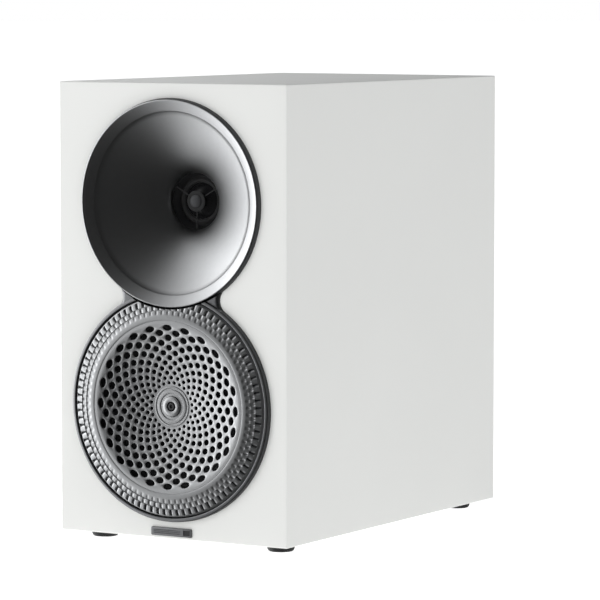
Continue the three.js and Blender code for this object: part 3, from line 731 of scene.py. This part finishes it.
# Each row of ribs: its inner and outer radius, and its share of the grooves' depth.
RIB_BANDS = ((72.1, 76.3, 1.0), (68.3, 71.6, 0.7), (64.9, 67.8, 0.35))
RING_FRONT = [
    (77.9, 1.85), (77.9, -2.7), (77.6, -3.5), (77.0, -4.2),
    (76.3, -4.6), (76.0, -4.68), (74.2, -5.07), (72.4, -5.45), (72.1, -5.5), (71.85, -5.02),
    (71.6, -5.07), (71.3, -5.13), (70.0, -5.4), (68.6, -5.7), (68.3, -5.74), (68.05, -5.22),
    (67.8, -5.27), (67.5, -5.33), (66.4, -5.57), (65.2, -5.81), (64.9, -5.87),
    (64.0, -6.01), (63.0, -6.1), (62.1, -6.13), (61.3, -6.1), (61.05, -6.0),
]
RING_BACK = [(61.05, -5.15), (66.0, -4.95), (70.0, -4.55), (72.4, -4.2), (76.7, -3.2), (76.7, 1.85)]
GROOVE = 0.8
GROOVE_SHAPE = (0.0, 0.0, 0.0, 0.0, 0.0, 0.6, 1.0, 0.6)  # across one rib and the groove beside it
PAINTED_SHADE_FROM = 0.5  # how deep a face must be to get painted shade, as a share of GROOVE


def groove_depth(radius, step):
    """How far the ring drops there. Each band's grooves are half a rib away from the next band's."""
    for band, (inner, outer, share) in enumerate(RIB_BANDS):
        if inner < radius < outer:
            return share * GROOVE * GROOVE_SHAPE[(step + band * RIB_STEPS // 2) % RIB_STEPS]
    return 0.0


def ribbed_ring():
    count = RIBS * RIB_STEPS
    angles = [RIB_START + i * TAU / count for i in range(count)]
    bm = bmesh.new()
    loops = []
    for r, depth in RING_FRONT:
        depths = [depth + groove_depth(r, i) for i in range(count)]
        loops.append([bm.verts.new(at(WOOFER, r, d, a)) for d, a in zip(depths, angles)])
    for r, depth in RING_BACK:
        loops.append([bm.verts.new(at(WOOFER, r, depth, a)) for a in angles])
    loft(bm, loops, closed=True)
    bm = carve(bm, bezel_cutter(-9, 6))
    piece = to_object("ribbed_ring_front", bm, ["grey_polymer", "dark_metal_and_painted_shade"], sharp=38)

    def gets_painted_groove_shade(face):
        """Whether a face is at the bottom of a groove in the outermost row, which is painted dark as shade.
        """
        r = face_radius(face, WOOFER)
        angle = math.atan2(face.center.x - WOOFER.x, face.center.z - WOOFER.z)
        step = (angle - RIB_START) / TAU * count % count
        shallower = min(groove_depth(r, math.floor(step) % count), groove_depth(r, math.ceil(step) % count))
        return r > RIB_BANDS[0][0] and shallower > PAINTED_SHADE_FROM * GROOVE

    second_material(piece, gets_painted_groove_shade)
    settle(piece, stands_for="ribbed_ring")


def woofer_surround():
    outer = [(75.5, 1.0), (70.5, 1.0), (69.4, 0.75), (68.4, 0.15), (67.2, -0.35), (65.8, -0.5)]
    inner = [(65.8, -0.5), (64.2, -0.3), (62.8, 0.5), (61.9, 1.3), (61.2, 1.7)]
    half_roll("roll_surround", outer, inner, 0.7, WOOFER, "black_rubber", "woofer_diaphragm",
              "woofer_surround")


# ---- phase lens

HOLE_RINGS = 12
HOLES = 24
FIRST_RING = 55.9
RING_STEP = 3.55
ZONE = (14.9, 58.9)  # the perforated zone's inner and outer radius
# Half of each hole's size, across the radius and along it, from the outermost ring inwards.
HOLE_SIZES = (
    (3.6, 2.1), (3.0, 2.15), (2.68, 2.3), (2.42, 2.2), (2.25, 2.05), (2.1, 1.9), (1.95, 1.8), (1.8, 1.7),
    (1.65, 1.58), (1.48, 1.42), (1.32, 1.26), (1.16, 1.1),
)
EDGE_SAMPLES = 5
BORDER = 0.15  # between the zigzag edge's tips and the plain circle round it
LENS_THICKNESS = 1.2
# How much wider a hole is at each depth below the lens's face.
HOLE_WALL = ((0.28, 0.0), (0.1, 0.07), (0.0, 0.3), (0.0, LENS_THICKNESS))
HALF_STEP = TAU / HOLES / 2
BORDER_POINTS = HOLES * 2 * EDGE_SAMPLES
DISH_START = 14.2  # the radius where the turned middle ends and the dish begins
DISH_DEPTH = 0.4
DISH_RIM = -6.15


def lens_depth(radius):
    run = max(0.0, radius - DISH_START)
    return max(DISH_RIM, DISH_DEPTH - 0.098 * run - 0.0011 * run * run)


def ring_radius(ring):
    """Radius of a ring of holes, and the limits of the perforated zone for the rings past the ends."""
    inner, outer = ZONE
    return min(outer, max(inner, FIRST_RING - ring * RING_STEP))


def lens_cell(bm, ring, number, corners):
    """One diamond of the lens round one hole. Its edges fall on its neighbours' edges."""
    radius = ring_radius(ring)
    angle = (number + (ring % 2) / 2) * 2 * HALF_STEP
    up, down = ring_radius(ring - 1), ring_radius(ring + 1)
    points = [(up, 0.0), (radius, HALF_STEP), (down, 0.0), (radius, -HALF_STEP)]
    rim = []
    for (r0, a0), (r1, a1) in zip(points, points[1:] + points[:1]):
        for i in range(EDGE_SAMPLES):
            t = i / EDGE_SAMPLES
            rim.append((r0 + (r1 - r0) * t, a0 + (a1 - a0) * t))
    wide, along = HOLE_SIZES[ring]
    total = len(rim)
    loops = [[], []]
    for grow, drop in HOLE_WALL:
        loop = []
        for i in range(total):
            turn = i * TAU / total
            r = radius + (along + grow) * math.cos(turn)
            a = angle + (wide + grow) * math.sin(turn) / radius
            loop.append(bm.verts.new(at(WOOFER, r, lens_depth(r) + drop, a)))
        loops.append(loop)
    for r, a in rim:
        for side, drop in ((0, 0.0), (1, LENS_THICKNESS)):
            key = corner_key(side, r, angle + a)
            if key not in corners:
                corners[key] = bm.verts.new(at(WOOFER, r, lens_depth(r) + drop, angle + a))
            loops[side].append(corners[key])
    front, back, *hole = loops
    for one, two in zip([front, *hole], [*hole, back]):
        skin(bm, one, two)


def corner_key(side, radius, angle):
    """The same key for one corner of two cells, however its angle was added up."""
    return side, round(radius, 3), round(angle / TAU % 1, 6) % 1


def lens_border(bm, corners, ring, outwards):
    """The zigzag edge of the perforated zone, joined to a plain circle of the same angles."""
    radius, tip = ring_radius(ring), ring_radius(ring + (-1 if outwards else 1))
    circle = tip + (BORDER if outwards else -BORDER)
    shift = (ring % 2) * HALF_STEP
    rings = {}
    for side, drop in ((0, 0.0), (1, LENS_THICKNESS)):
        zigzag = []
        plain = []
        for i in range(BORDER_POINTS):
            angle = i * HALF_STEP / EDGE_SAMPLES + shift
            phase = abs((i / EDGE_SAMPLES) % 2 - 1)
            r = radius + (tip - radius) * phase
            zigzag.append(corners[corner_key(side, r, angle)])
            plain.append(bm.verts.new(at(WOOFER, circle, lens_depth(circle) + drop, angle)))
        skin(bm, zigzag, plain)
        rings[side] = plain
    return rings, shift


def lens():
    bm = bmesh.new()
    corners = {}
    for ring in range(HOLE_RINGS):
        for number in range(HOLES):
            lens_cell(bm, ring, number, corners)
    outer, shift = lens_border(bm, corners, 0, True)

    def circles(outline, turn):
        angles = [i * TAU / BORDER_POINTS + turn for i in range(BORDER_POINTS)]
        return [[bm.verts.new(at(WOOFER, r, d, a)) for a in angles] for r, d in rounded(outline)]

    brim = circles([
        (59.6, -6.1), (60.4, -6.13), (60.9, -6.1), (61.0, -6.0), (61.0, -4.9), (59.6, -4.75),
    ], shift)
    for one, two in zip([outer[0], *brim], [*brim, outer[1]]):
        skin(bm, one, two)
    inner, turn = lens_border(bm, corners, HOLE_RINGS - 1, False)
    boss = circles([
        (14.3, 0.35), (14.1, 0.0, 0.15), (13.2, -0.05, 0.15), (13.0, 0.45, 0.15), (11.9, 0.45, 0.15),
        (11.7, -0.05, 0.15), (9.6, -0.1, 0.15), (9.3, 0.4, 0.15), (7.5, 0.3, 0.15), (6.9, -0.55, 0.2),
        (5.2, -0.95, 0.5), (3.4, -0.8, 0.4), (3.1, 0.2, 0.2), (3.1, 1.7), (14.0, 1.7),
    ], turn)
    for one, two in zip([inner[0], *boss], [*boss, inner[1]]):
        skin(bm, one, two)
    piece = to_object("perforated_lens", bm, "pewter", sharp=28)
    settle(piece, stands_for="phase_lens")


def lens_fixings():
    post = [(2.7, 2.2), (6.5, 2.2, 0.4), (8, 12, 3), (11, 34, 3), (11.5, 45), (2.7, 45)]
    turned("lens_post", post, WOOFER, "black_plastic", stands_for="lens_stem", facets=64)
    bolt = [(0, 0.3), (1.2, 0.3), (1.25, -0.7, 0.1), (2.3, -0.75, 0.3), (2.9, -0.2, 0.3), (2.9, 1.6),
            (2.3, 2.0), (2.3, 16), (0, 17)]
    turned("lens_bolt", bolt, WOOFER, "black_plastic", stands_for="lens_screw", facets=48)


# ---- the rest of the woofer


def woofer_inside():
    moving = "woofer_diaphragm"
    front = smooth_line([(61.9, 2.8), (60.9, 3.3), (52, 7.9), (42, 13.6), (30, 21.2), (17.4, 31)], 5)
    back = smooth_line([(17.6, 32.4), (30, 22.8), (42, 15), (52, 9.2), (61, 3.9), (61.9, 3.3)], 5)
    turned("cone", [*front, *back], WOOFER, "cone_fibre", body=moving, stands_for="woofer_cone",
           facets=160)
    turned("coil_former", [(16.3, 29), (16.9, 29), (16.9, 62), (16.3, 62)], WOOFER, "black_plastic",
           body=moving, stands_for="woofer_voice_coil", facets=96)
    turned("coil_winding", [(16.9, 50.1), (17.5, 50.1, 0.1), (17.5, 62, 0.1), (16.9, 62)], WOOFER, "copper",
           body=moving, facets=96)
    waves = [(17.3, 33.8), (18.6, 33.4), (20.5, 32.2), (23, 33.6), (25.5, 34.2), (28, 32.2), (30.5, 31.4),
             (33, 32.8), (35.5, 32.8), (38, 30.6), (40.6, 29.4), (43.5, 29.4), (47.5, 29.4)]
    bm = ring_bmesh(sheet_outline(smooth_line(waves, 3), 0.5), WOOFER, 96)
    spider = to_object("corrugated_spider", bm, "spider_cloth")
    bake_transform(spider)
    settle(spider, stands_for="woofer_spider")
    for name, slot, node, outline in (
        ("top_plate", "zinc_steel", "woofer_top_plate",
         [(18.3, 45.3, 0.4), (46, 45.3, 0.6), (46, 51.3, 0.6), (18.3, 51.3, 0.4)]),
        ("magnet", "ferrite", "woofer_magnet",
         [(28, 51.6, 0.8), (50, 51.6, 1), (50, 67.6, 1), (28, 67.6, 0.8)]),
        ("yoke", "zinc_steel", "woofer_yoke",
         [(0, 45.3), (15.5, 45.3, 0.6), (15.5, 67.9, 1), (46, 67.9, 0.8), (46, 73.9, 1.6), (0, 73.9)]),
        ("boot", "black_rubber", "magnet_boot",
         [(50.8, 52, 0.4), (52.8, 52, 0.4), (52.8, 76.4, 2), (0, 76.4), (0, 74.4), (50.8, 74.4, 0.8)]),
    ):
        turned(name, outline, WOOFER, slot, stands_for=node)


# ---- rear


PORT_LENGTH = 125


def port():
    inner = REAR - PORT_LENGTH
    outline = [
        (37.9, REAR), (37.9, REAR + 1.6, 0.5), (36.6, REAR + 2.5, 0.8), (34, REAR + 2.45, 1.2),
        (30, REAR + 0.6, 1.5), (27.2, REAR - 3.4, 2), (25.2, REAR - 9, 3), (24, REAR - 18, 3),
        (24, inner + 13, 4), (26, inner + 5, 3), (29.2, inner + 0.4, 0.8), (31, inner + 1.2, 0.6),
        (28.4, inner + 6, 2), (26.5, inner + 13, 3), (26.5, REAR - 16), (27.7, REAR - 15), (27.7, REAR),
    ]
    turned("reflex_port", outline, PORT, "black_plastic", stands_for="port_tube")


CUP_SCREW = 30.5  # how far the cup's screws are from its middle, across and up
CUP_RIM = 2.5  # how proud its rim is
CUP_FLAT = 29  # half the length of the straight part of its sides
CORNER_STEPS = 8


def rounded_square(bm, half, corner, centre, depth):
    """A square loop with round corners, in the plane at that depth."""
    points = []
    for quarter in range(4):
        start = quarter * math.pi / 2
        sx = 1 if quarter in (0, 3) else -1
        sz = 1 if quarter in (0, 1) else -1
        for i in range(CORNER_STEPS + 1):
            angle = start + i / CORNER_STEPS * math.pi / 2
            x = sx * (half - corner) + corner * math.cos(angle)
            z = sz * (half - corner) + corner * math.sin(angle)
            points.append(bm.verts.new((centre.x + x * MM, FRONT + depth * MM, centre.z + z * MM)))
    return points


def screw_head(name, x, z, depth, radius, slot):
    """A cross-head screw that faces backwards, its head's rim on the surface at that depth."""
    bm = ring_bmesh(rounded([
        (0, depth - 5), (1.2, depth - 5), (1.2, depth - 0.1), (radius, depth + 0.02, 0.15),
        (radius, depth + 0.35, 0.3), (radius * 0.6, depth + 1.15, 0.8), (0, depth + 1.3),
    ]), Vector((x, 0, z)), 40)
    tools = []
    for wide, tall in ((0.3, radius * 0.55), (radius * 0.55, 0.3)):
        y = FRONT + depth * MM
        low = (x - wide * MM, y + 0.55 * MM, z - tall * MM)
        high = (x + wide * MM, y + 3 * MM, z + tall * MM)
        tools.append(box_bmesh(low, high))
    settle(to_object(name, carve(bm, *tools), slot, sharp=24))


def terminal_cup():
    rim = bmesh.new()
    section = [(37, 0), (37, 1.4), (36.7, 2.0), (36.1, 2.4), (35.4, CUP_RIM)]
    loops = [rounded_square(rim, half, half - CUP_FLAT, CUP, REAR + depth) for half, depth in section]
    loft(rim, loops, closed=False)
    pan = [(0, REAR - 15), (28.2, REAR - 15, 1), (28.2, REAR + 1), (0, REAR + 1)]
    recess = [(0, REAR - 12), (25.5, REAR - 12, 1.2), (25.7, REAR + 1.2, 0.3), (27.6, REAR + 2.8, 0.4),
              (27.6, REAR + 6), (0, REAR + 6)]
    holes = [
        rod_bmesh(middle(f"terminal_post_{side}"), 3.2, REAR - 20, REAR - 8, 40) for side in ("black", "red")
    ]
    body = join(rim, ring_bmesh(rounded(pan), CUP, 96))
    body = carve(body, ring_bmesh(rounded(recess), CUP), *holes)
    piece = to_object("input_cup", body, "black_plastic", sharp=26)
    settle(piece, stands_for="terminal_cup")
    for i, (sx, sz) in enumerate(((-1, -1), (1, -1), (1, 1), (-1, 1))):
        x = CUP.x + sx * CUP_SCREW * MM
        z = CUP.z + sz * CUP_SCREW * MM
        screw_head(f"cup_screw_{i + 1}", x, z, REAR + CUP_RIM, 2.6, "black_plastic")


FLUTES = 18
FLUTE_STEPS = 8
FLUTE_DEPTH = 0.55
FLUTE_FADE = 1.2  # how far in from the widest radius the flutes end
THREADS = 15
WIRE_HOLE = 1.2 * MM


def fluted(name, outline, centre, slot, body, node):
    """A turned knob whose widest part has shallow flutes. The bore is plain."""
    count = FLUTES * FLUTE_STEPS
    widest = max(r for r, _ in outline)
    bm = bmesh.new()
    loops = []
    for r, d in outline:
        share = max(0.0, (r - widest + FLUTE_FADE) / FLUTE_FADE)
        loop = []
        for i in range(count):
            wave = 0.5 - 0.5 * math.cos(i * TAU / FLUTE_STEPS)
            loop.append(bm.verts.new(at(centre, r - FLUTE_DEPTH * share * wave ** 2, d, i * TAU / count)))
        loops.append(loop)
    loft(bm, loops, closed=True)
    settle(to_object(name, bm, slot, sharp=40), body, node)


def terminals():
    for side, slot in (("black", "black_plastic"), ("red", "red_plastic")):
        centre = middle(f"terminal_post_{side}")
        threads = []
        for i in range(THREADS):
            threads += [(2.9, REAR - 9.2 + i), (2.62, REAR - 8.7 + i)]
        post = [
            (0, REAR - 26), (2.9, REAR - 26, 0.3), (2.9, REAR - 19.5), (5.6, REAR - 19.5, 0.3),
            (5.6, REAR - 15.3, 0.3), (2.9, REAR - 15.3), (2.9, REAR - 11.7), (6.4, REAR - 11.7, 0.3),
            (6.4, REAR - 9.5, 0.4), (2.9, REAR - 9.5),
            *threads, (2.8, REAR + 6.3, 0.2), (2.1, REAR + 6.5, 0.2), (2.05, REAR - 4), (0, REAR - 5),
        ]
        hole = bmesh.new()
        hole_centre = (centre.x, FRONT + (REAR - 7.2) * MM, centre.z)
        bmesh.ops.create_cone(hole, segments=24, radius1=WIRE_HOLE, radius2=WIRE_HOLE, depth=14 * MM,
                              cap_ends=True, matrix=Matrix.Translation(hole_centre))
        drilled = carve(ring_bmesh(rounded(post), centre, 48), hole)
        piece = to_object(f"gold_post_{side}", drilled, "gold_plate")
        settle(piece, stands_for=f"terminal_post_{side}")
        near, far = REAR - 9.2, REAR - 7.7
        washer = [(3.2, near, 0.2), (6.6, near, 0.3), (6.6, far, 0.3), (3.2, far, 0.2)]
        turned(f"washer_{side}_ring", washer, centre, "clear_nylon", body=f"washer_{side}",
               stands_for=f"clamp_washer_{side}", facets=64)
        knob = rounded([
            (3.2, REAR - 7.4, 0.2), (6.3, REAR - 7.4, 0.3), (7.0, REAR - 6.6, 0.4), (7.0, REAR + 6.2, 0.8),
            (5.9, REAR + 8.5, 0.9), (2.5, REAR + 8.5, 0.4), (2.4, REAR + 7), (3.2, REAR + 7),
        ])
        fluted(f"knob_{side}_cap", knob, centre, slot, f"knob_{side}", f"terminal_knob_{side}")


# ---- inside the cabinet


FOAM_PITCH = 30 * MM
FOAM_SAMPLES = 6  # per wave
FOAM_BASE = 0.3  # the share of the thickness that is solid
FOAM_WAVE = 0.69  # and the share that the waves add
FOAM_GAP = 0.3 * MM  # between the foam and the panel


def linings():
    """Egg-crate foam: flat against the side panel, waves towards the middle of the cabinet."""
    for side, way in (("left", 1), ("right", -1)):
        low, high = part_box(f"foam_lining_{side}")
        wall = low.x if way > 0 else high.x
        thick = high.x - low.x
        count_y = round((high.y - low.y) / FOAM_PITCH * FOAM_SAMPLES)
        count_z = round((high.z - low.z) / FOAM_PITCH * FOAM_SAMPLES)
        bm = bmesh.new()
        grid = {}
        for i in range(count_y + 1):
            for k in range(count_z + 1):
                y = low.y + (high.y - low.y) * i / count_y
                z = low.z + (high.z - low.z) * k / count_z
                waves = math.cos(TAU * (y - low.y) / FOAM_PITCH) + math.cos(TAU * (z - low.z) / FOAM_PITCH)
                depth = thick * (FOAM_BASE + FOAM_WAVE * (0.5 + 0.25 * waves))
                grid[0, i, k] = bm.verts.new((wall + way * depth, y, z))
                grid[1, i, k] = bm.verts.new((wall + way * FOAM_GAP, y, z))
        for layer in (0, 1):
            for i in range(count_y):
                for k in range(count_z):
                    corners = ((i, k), (i + 1, k), (i + 1, k + 1), (i, k + 1))
                    bm.faces.new([grid[layer, a, b] for a, b in corners])
        border = [(i, 0) for i in range(count_y)] + [(count_y, k) for k in range(count_z)]
        border += [(i, count_z) for i in range(count_y, 0, -1)] + [(0, k) for k in range(count_z, 0, -1)]
        skin(bm, [grid[0, i, k] for i, k in border], [grid[1, i, k] for i, k in border])
        piece = to_object(f"egg_crate_{side}", bm, "foam", sharp=60)
        settle(piece, stands_for=f"foam_lining_{side}")


def finish_cad_nodes():
    """Every CAD node that still shows gets its slot's material."""
    slots = {part["node"]: part["material_slot"] for part in frame["record"]["subparts"]}
    for node, thing in frame["nodes"].items():
        thing.data.materials.clear()
        thing.data.materials.append(MATERIALS[slots[node]])


# ---- studio


def toward(azimuth, elevation):
    """A direction from the speaker. Azimuth 0 is in front of it and 90 is on its +X side."""
    a, e = math.radians(azimuth), math.radians(elevation)
    return Vector((math.sin(a) * math.cos(e), -math.cos(a) * math.cos(e), math.sin(e)))


# What the metal sees. Each soft wall has an azimuth, then two cosines of the angle from it, where its
# light starts and where it is full, then two heights, as the Z of a direction, where it ends and up to
# which it is whole, and then a brightness.
WALLS = (
    (-88, 0.2, 1.0, 0.95, 0.7, 2.1),
    (-100, 0.6, 1.0, 0.8, 0.2, 3.0),
    (135, 0.45, 1.0, 1.1, 0.2, 0.55),
)
AMBIENT = 0.035
ROOM = 0.41  # the even light of the room, which is all that surfaces without a mirror finish get
FLOOR_RADIUS = 40
FLOOR_GLOW = 0.72
# Soft lights that the metal doesn't mirror: azimuth, elevation, distance, size and power.
LAMPS = (
    (-30, 16, 1.8, 1.0, 5.7),
    (112, 12, 2.0, 1.6, 1.8),
    (0, 88, 2.0, 1.6, 2.1),
)


def stepped(tree, value, low, high):
    """A smooth step from 0 at low to 1 at high."""
    span = tree.nodes.new("ShaderNodeMapRange")
    span.interpolation_type = "SMOOTHSTEP"
    span.inputs["From Min"].default_value = low
    span.inputs["From Max"].default_value = high
    tree.links.new(value, span.inputs["Value"])
    return span.outputs["Result"]


def wall_light(tree, direction, steepness, wall):
    """The brightness that one soft wall adds in a direction."""
    azimuth, start, full, ends, whole, brightness = wall
    facing = tree.nodes.new("ShaderNodeVectorMath")
    facing.operation = "DOT_PRODUCT"
    facing.inputs[1].default_value = toward(azimuth, 0)
    tree.links.new(direction, facing.inputs[0])
    sideways = stepped(tree, facing.outputs["Value"], start, full)
    upright = stepped(tree, calculated(tree, "MULTIPLY", steepness, -1), -ends, -whole)
    return calculated(tree, "MULTIPLY", calculated(tree, "MULTIPLY", sideways, upright), brightness)


def lamps():
    for i, (azimuth, elevation, distance, size, power) in enumerate(LAMPS):
        data = bpy.data.lights.new(f"lamp_{i + 1}", "AREA")
        data.size = size
        data.energy = power
        lamp = placed(f"lamp_{i + 1}", data)
        lamp.location = HEART + toward(azimuth, elevation) * distance
        lamp.rotation_euler = (HEART - lamp.location).to_track_quat("-Z", "Y").to_euler()
        lamp.visible_camera = False
        lamp.visible_glossy = False


def studio():
    bm = bmesh.new()
    bmesh.ops.create_circle(bm, cap_ends=True, segments=96, radius=FLOOR_RADIUS)
    white = surface("floor_white", (0.93, 0.93, 0.93), tint=(0.92, 0.92, 0.92), grain=2, rough=0.9,
                    bump=0.0, specular=0.1)
    shader = white.node_tree.nodes["Principled BSDF"]
    shader.inputs["Emission Color"].default_value = (1, 1, 1, 1)
    shader.inputs["Emission Strength"].default_value = FLOOR_GLOW
    floor = to_object("floor", bm, "floor_white")
    floor.visible_glossy = False

    world = bpy.data.worlds.new("studio")
    bpy.context.scene.world = world
    world.use_nodes = True
    world.cycles.sampling_method = "NONE"  # so that the walls are met by mirrored rays only
    tree = world.node_tree
    place = tree.nodes.new("ShaderNodeTexCoord")
    parts = tree.nodes.new("ShaderNodeSeparateXYZ")
    tree.links.new(place.outputs["Generated"], parts.inputs["Vector"])
    steepness = calculated(tree, "ABSOLUTE", parts.outputs["Z"], 0.0)
    total = AMBIENT
    for wall in WALLS:
        total = calculated(tree, "ADD", wall_light(tree, place.outputs["Generated"], steepness, wall), total)
    path = tree.nodes.new("ShaderNodeLightPath")
    extra = calculated(tree, "SUBTRACT", total, ROOM)
    mirrored = calculated(tree, "MULTIPLY", extra, path.outputs["Is Glossy Ray"])
    lit = tree.nodes.new("ShaderNodeBackground")
    lit.inputs["Color"].default_value = (0.98, 0.99, 1.0, 1)
    tree.links.new(calculated(tree, "ADD", mirrored, ROOM), lit.inputs["Strength"])
    seen = tree.nodes["Background"]
    seen.inputs["Color"].default_value = (1, 1, 1, 1)
    seen.inputs["Strength"].default_value = 1.0
    mix = tree.nodes.new("ShaderNodeMixShader")
    tree.links.new(path.outputs["Is Camera Ray"], mix.inputs["Fac"])
    tree.links.new(lit.outputs["Background"], mix.inputs[1])
    tree.links.new(seen.outputs["Background"], mix.inputs[2])
    tree.links.new(mix.outputs["Shader"], tree.nodes["World Output"].inputs["Surface"])
    bpy.context.scene.view_settings.view_transform = "Standard"


# ---- everything in order

camera()
finish_cad_nodes()
baffle()
boards()
rear_board()
feet()
fascia()
nameplate()
horn()
phase_plug()
tweeter_inside()
ribbed_ring()
woofer_surround()
lens()
lens_fixings()
woofer_inside()
port()
terminal_cup()
terminals()
linings()
studio()
lamps()
